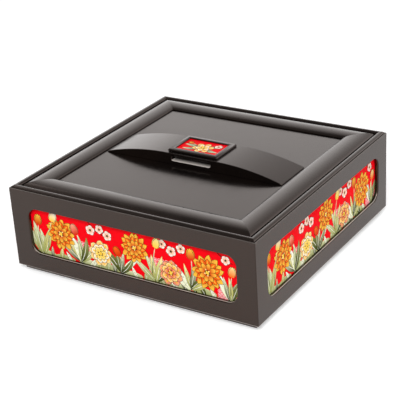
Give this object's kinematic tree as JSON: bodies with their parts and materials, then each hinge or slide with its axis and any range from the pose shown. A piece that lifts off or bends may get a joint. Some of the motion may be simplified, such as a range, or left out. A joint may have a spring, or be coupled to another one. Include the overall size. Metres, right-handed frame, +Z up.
{
  "type": "lidded sewing box",
  "caption": "Square low sewing box with framed picture panels, a lift-off lid with an arched handle, and a lift-out divided tray.",
  "frame": {"origin": "middle of the box's footprint, on the plane it stands on", "axes": "+Z up; +X along the handle, to the right seen from the front; -Y is the front side"},
  "size_m": [0.28, 0.28, 0.1062],
  "materials": {
    "black_lacquer": "smooth dark brown-black lacquer on wood, semi-gloss",
    "red_picture": "flower picture on a red ground under clear varnish",
    "backing_board": "matt pressed board",
    "red_felt": "short matt felt",
    "pad_felt": "dense black felt",
    "screw_steel": "bright steel"
  },
  "bodies": {
    "box": {"foot_pad_front_left": "pad_felt", "foot_pad_front_right": "pad_felt", "foot_pad_back_left": "pad_felt", "foot_pad_back_right": "pad_felt", "plinth_front": "black_lacquer", "plinth_right": "black_lacquer", "plinth_back": "black_lacquer", "plinth_left": "black_lacquer", "side_front": "black_lacquer", "side_right": "black_lacquer", "side_back": "black_lacquer", "side_left": "black_lacquer", "rim_front": "black_lacquer", "rim_right": "black_lacquer", "rim_back": "black_lacquer", "rim_left": "black_lacquer", "picture_front": "red_picture", "picture_right": "red_picture", "picture_back": "red_picture", "picture_left": "red_picture", "backing_front": "backing_board", "backing_right": "backing_board", "backing_back": "backing_board", "backing_left": "backing_board", "base_board": "black_lacquer", "base_lining": "red_felt", "liner_front": "black_lacquer", "liner_right": "black_lacquer", "liner_back": "black_lacquer", "liner_left": "black_lacquer", "tray_runner_left": "black_lacquer", "tray_runner_right": "black_lacquer"},
    "tray": {"tray_floor": "black_lacquer", "tray_wall_front": "black_lacquer", "tray_wall_right": "black_lacquer", "tray_wall_back": "black_lacquer", "tray_wall_left": "black_lacquer", "tray_lining": "red_felt", "tray_divider_long": "black_lacquer", "tray_divider_front_1": "black_lacquer", "tray_divider_front_2": "black_lacquer", "tray_divider_back_1": "black_lacquer"},
    "lid": {"lid_moulding_front": "black_lacquer", "lid_moulding_right": "black_lacquer", "lid_moulding_back": "black_lacquer", "lid_moulding_left": "black_lacquer", "lid_panel": "black_lacquer", "lid_lining": "red_felt", "handle_arch": "black_lacquer", "handle_screw_left": "screw_steel", "handle_screw_right": "screw_steel", "tile_frame": "black_lacquer", "tile_picture": "red_picture"}
  },
  "joints": [
    {"name": "lid_lift", "type": "slide", "parent": "box", "child": "lid", "axis": [0, 0, 1], "range_m": [0, 0.15]},
    {"name": "tray_lift", "type": "slide", "parent": "box", "child": "tray", "axis": [0, 0, 1], "range_m": [0, 0.06]}
  ],
  "couplings": [
    {"joint": "tray_lift", "follows": "lid_lift", "ratio": 0.4}
  ]
}
